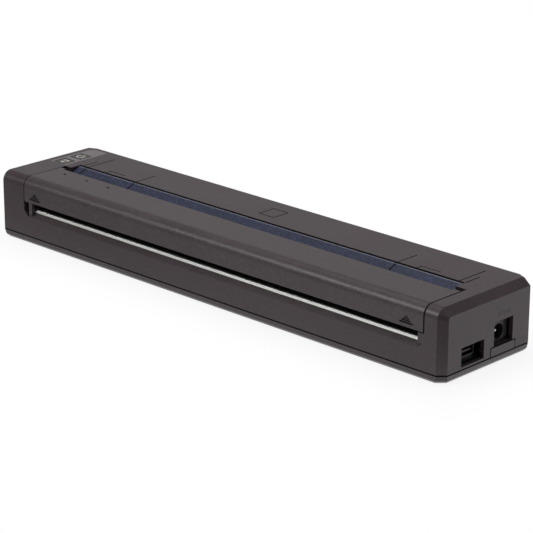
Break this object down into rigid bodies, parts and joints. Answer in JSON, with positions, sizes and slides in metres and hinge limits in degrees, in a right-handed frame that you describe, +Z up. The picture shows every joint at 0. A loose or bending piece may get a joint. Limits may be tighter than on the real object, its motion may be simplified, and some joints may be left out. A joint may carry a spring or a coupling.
{
  "type": "a4 portable thermal printer",
  "caption": "Slim bar-shaped portable thermal printer with a hinged release cover over a driven platen roller, a paper inlet on top and a tear bar in the front slot.",
  "frame": {"origin": "bottom centre of the bounding box, on the surface that the printer rests on", "axes": "+X along the bar towards the end with the sockets, -Y towards the exit slot and tear bar, +Z up"},
  "size_m": [0.255, 0.055, 0.03],
  "materials": {
    "case_dark": "fine matt spark texture",
    "base_dark": "fine matt spark texture",
    "cover_dark": "fine satin texture",
    "ramp_blue": "grained, matt",
    "guide_black": "matt",
    "panel_grey": "matt printed panel",
    "key_grey": "satin",
    "board_green": "solder mask over glass fibre",
    "chip_black": "matt",
    "lens_clear": "clear, polished",
    "sheet_steel": "zinc plated sheet",
    "shaft_steel": "ground",
    "blade_steel": "bright, brushed along its length",
    "screw_steel": "zinc plated",
    "heatsink_aluminium": "extruded",
    "head_ceramic": "glazed",
    "cable_amber": "smooth film",
    "roller_rubber": "ground matt",
    "gear_white": "moulded acetal",
    "brass_yellow": "machined",
    "motor_can": "plated can",
    "jack_black": "matt",
    "battery_wrap": "satin",
    "contact_gold": "gold plated"
  },
  "bodies": {
    "housing": {"lower_housing": "base_dark", "upper_housing": "case_dark", "inlet_ramp": "ramp_blue", "exit_guide": "guide_black", "tear_bar": "blade_steel", "keypad_panel": "panel_grey", "key_board": "board_green", "key_switches": "sheet_steel", "left_side_plate": "sheet_steel", "right_side_plate": "sheet_steel", "head_stay": "sheet_steel", "cover_hinge_pins": "shaft_steel", "head_springs": "shaft_steel", "head_flex_cable": "cable_amber", "platen_bushes": "gear_white", "idler_axle": "shaft_steel", "reduction_axle": "shaft_steel", "gear_retaining_rings": "screw_steel", "motor": "motor_can", "main_board": "board_green", "board_components": "chip_black", "usb_socket": "sheet_steel", "dc_jack": "jack_black", "dc_jack_pin": "shaft_steel", "battery_pack": "battery_wrap", "battery_connector": "jack_black", "battery_contacts": "contact_gold", "paper_sensor": "chip_black", "sensor_lever_pin": "shaft_steel", "case_screws": "screw_steel", "chassis_screws": "screw_steel", "board_screws": "screw_steel", "motor_screws": "screw_steel"},
    "cover": {"release_cover": "cover_dark", "led_board": "board_green", "power_light_lens": "lens_clear", "data_light_lens": "lens_clear", "status_light_lens": "lens_clear"},
    "power_key": {"power_button": "key_grey"},
    "feed_key": {"feed_button": "key_grey"},
    "platen": {"platen_rubber": "roller_rubber", "platen_shaft": "shaft_steel", "platen_gear": "gear_white"},
    "idler": {"idler_gear": "gear_white"},
    "reduction": {"reduction_gear": "gear_white"},
    "motor_rotor": {"motor_shaft": "shaft_steel", "motor_pinion": "brass_yellow"},
    "head": {"head_heatsink": "heatsink_aluminium", "print_head": "head_ceramic"},
    "door": {"battery_door": "case_dark"},
    "lever": {"paper_sensor_lever": "guide_black"}
  },
  "joints": [
    {"name": "cover_hinge", "type": "hinge", "parent": "housing", "child": "cover", "pos_m": [0, -0.0072, 0.0266], "axis": [-1, 0, 0], "range_deg": [0, 60]},
    {"name": "power_press", "type": "slide", "parent": "housing", "child": "power_key", "axis": [0, 0, -1], "range_m": [0, 0.0005], "stiffness_N_per_m": 2000},
    {"name": "feed_press", "type": "slide", "parent": "housing", "child": "feed_key", "axis": [0, 0, -1], "range_m": [0, 0.0005], "stiffness_N_per_m": 2000},
    {"name": "platen_spin", "type": "hinge", "parent": "housing", "child": "platen", "pos_m": [0, -0.0145, 0.0214], "axis": [1, 0, 0], "continuous": true},
    {"name": "idler_spin", "type": "hinge", "parent": "housing", "child": "idler", "pos_m": [-0.114, -0.0055, 0.01188], "axis": [1, 0, 0], "continuous": true},
    {"name": "reduction_spin", "type": "hinge", "parent": "housing", "child": "reduction", "pos_m": [-0.115, 0.0058, 0.01449], "axis": [1, 0, 0], "continuous": true},
    {"name": "motor_spin", "type": "hinge", "parent": "housing", "child": "motor_rotor", "pos_m": [-0.11, 0.01698, 0.00986], "axis": [1, 0, 0], "continuous": true},
    {"name": "head_press", "type": "hinge", "parent": "housing", "child": "head", "pos_m": [0, -0.0095, 0.0139], "axis": [1, 0, 0], "range_deg": [0, 3], "stiffness_Nm_per_rad": 1, "springref_deg": -2.86, "deforming": ["head_springs"]},
    {"name": "battery_door_hinge", "type": "hinge", "parent": "housing", "child": "door", "pos_m": [0.0096, 0.0265, 0.0065], "axis": [-1, 0, 0], "range_deg": [0, 90]},
    {"name": "lever_swing", "type": "hinge", "parent": "housing", "child": "lever", "pos_m": [-0.04, -0.002, 0.01902], "axis": [1, 0, 0], "range_deg": [0, 12], "stiffness_Nm_per_rad": 0.00002, "springref_deg": -17.19}
  ],
  "couplings": [
    {"joint": "idler_spin", "follows": "platen_spin", "ratio": -0.73333},
    {"joint": "reduction_spin", "follows": "platen_spin", "ratio": 1.375},
    {"joint": "motor_spin", "follows": "platen_spin", "ratio": -4.125}
  ]
}
